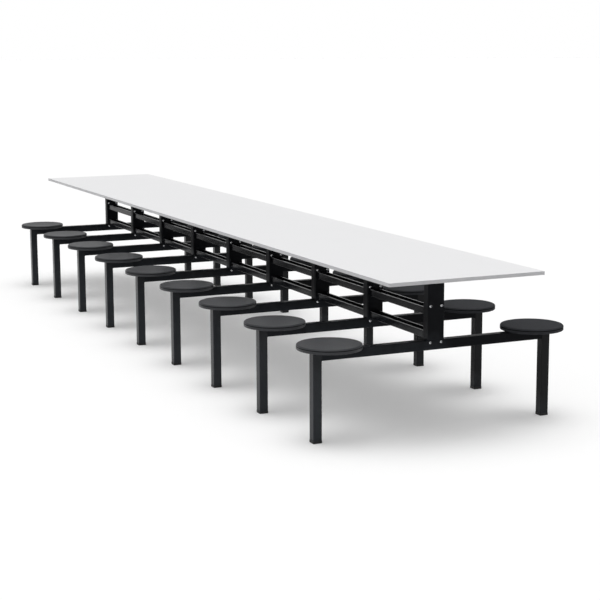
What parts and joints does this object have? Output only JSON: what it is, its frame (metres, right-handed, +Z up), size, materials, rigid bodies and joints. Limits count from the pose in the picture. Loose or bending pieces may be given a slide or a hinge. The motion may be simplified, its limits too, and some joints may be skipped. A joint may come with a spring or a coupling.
{
  "type": "cafeteria table with seats",
  "caption": "Long canteen table: a pale laminate top on bolted black steel frames joined by channel rails, with a round fixed seat on the end of each frame's arm.",
  "frame": {"origin": "on the floor under the middle of the tabletop", "axes": "+X along the table's length, +Y across it towards the rear row of seats, +Z up"},
  "size_m": [5.4, 1.345, 0.743],
  "materials": {
    "top_laminate": "pale grey high-pressure laminate, smooth satin",
    "edge_band": "mid grey extruded plastic edge strip, satin",
    "board": "raw particle board",
    "backer_sheet": "pale balancing laminate",
    "black_steel": "black powder coat on steel, satin with a fine texture",
    "seat_plastic": "black moulded plastic with a fine grain, satin",
    "cap_plastic": "black moulded plastic",
    "zinc": "bright zinc plate"
  },
  "bodies": {
    "root": {"arm_1": "black_steel", "arm_2": "black_steel", "arm_3": "black_steel", "arm_4": "black_steel", "arm_5": "black_steel", "arm_6": "black_steel", "arm_7": "black_steel", "arm_8": "black_steel", "arm_9": "black_steel", "foot_caps": "cap_plastic", "frame_bolts": "zinc", "frame_nuts": "zinc", "leg_pair_1": "black_steel", "leg_pair_2": "black_steel", "leg_pair_3": "black_steel", "leg_pair_4": "black_steel", "leg_pair_5": "black_steel", "leg_pair_6": "black_steel", "leg_pair_7": "black_steel", "leg_pair_8": "black_steel", "leg_pair_9": "black_steel", "lower_rails": "black_steel", "post_1": "black_steel", "post_2": "black_steel", "post_3": "black_steel", "post_4": "black_steel", "post_5": "black_steel", "post_6": "black_steel", "post_7": "black_steel", "post_8": "black_steel", "post_9": "black_steel", "rail_end_plates": "black_steel", "seat_front_1": "seat_plastic", "seat_front_2": "seat_plastic", "seat_front_3": "seat_plastic", "seat_front_4": "seat_plastic", "seat_front_5": "seat_plastic", "seat_front_6": "seat_plastic", "seat_front_7": "seat_plastic", "seat_front_8": "seat_plastic", "seat_front_9": "seat_plastic", "seat_plates": "black_steel", "seat_rear_1": "seat_plastic", "seat_rear_2": "seat_plastic", "seat_rear_3": "seat_plastic", "seat_rear_4": "seat_plastic", "seat_rear_5": "seat_plastic", "seat_rear_6": "seat_plastic", "seat_rear_7": "seat_plastic", "seat_rear_8": "seat_plastic", "seat_rear_9": "seat_plastic", "seat_screws": "zinc", "tabletop_backer": "backer_sheet", "tabletop_bearers": "black_steel", "tabletop_core": "board", "tabletop_edge_band": "edge_band", "tabletop_laminate": "top_laminate", "tabletop_screws": "zinc", "upper_rails": "black_steel"}
  },
  "joints": []
}
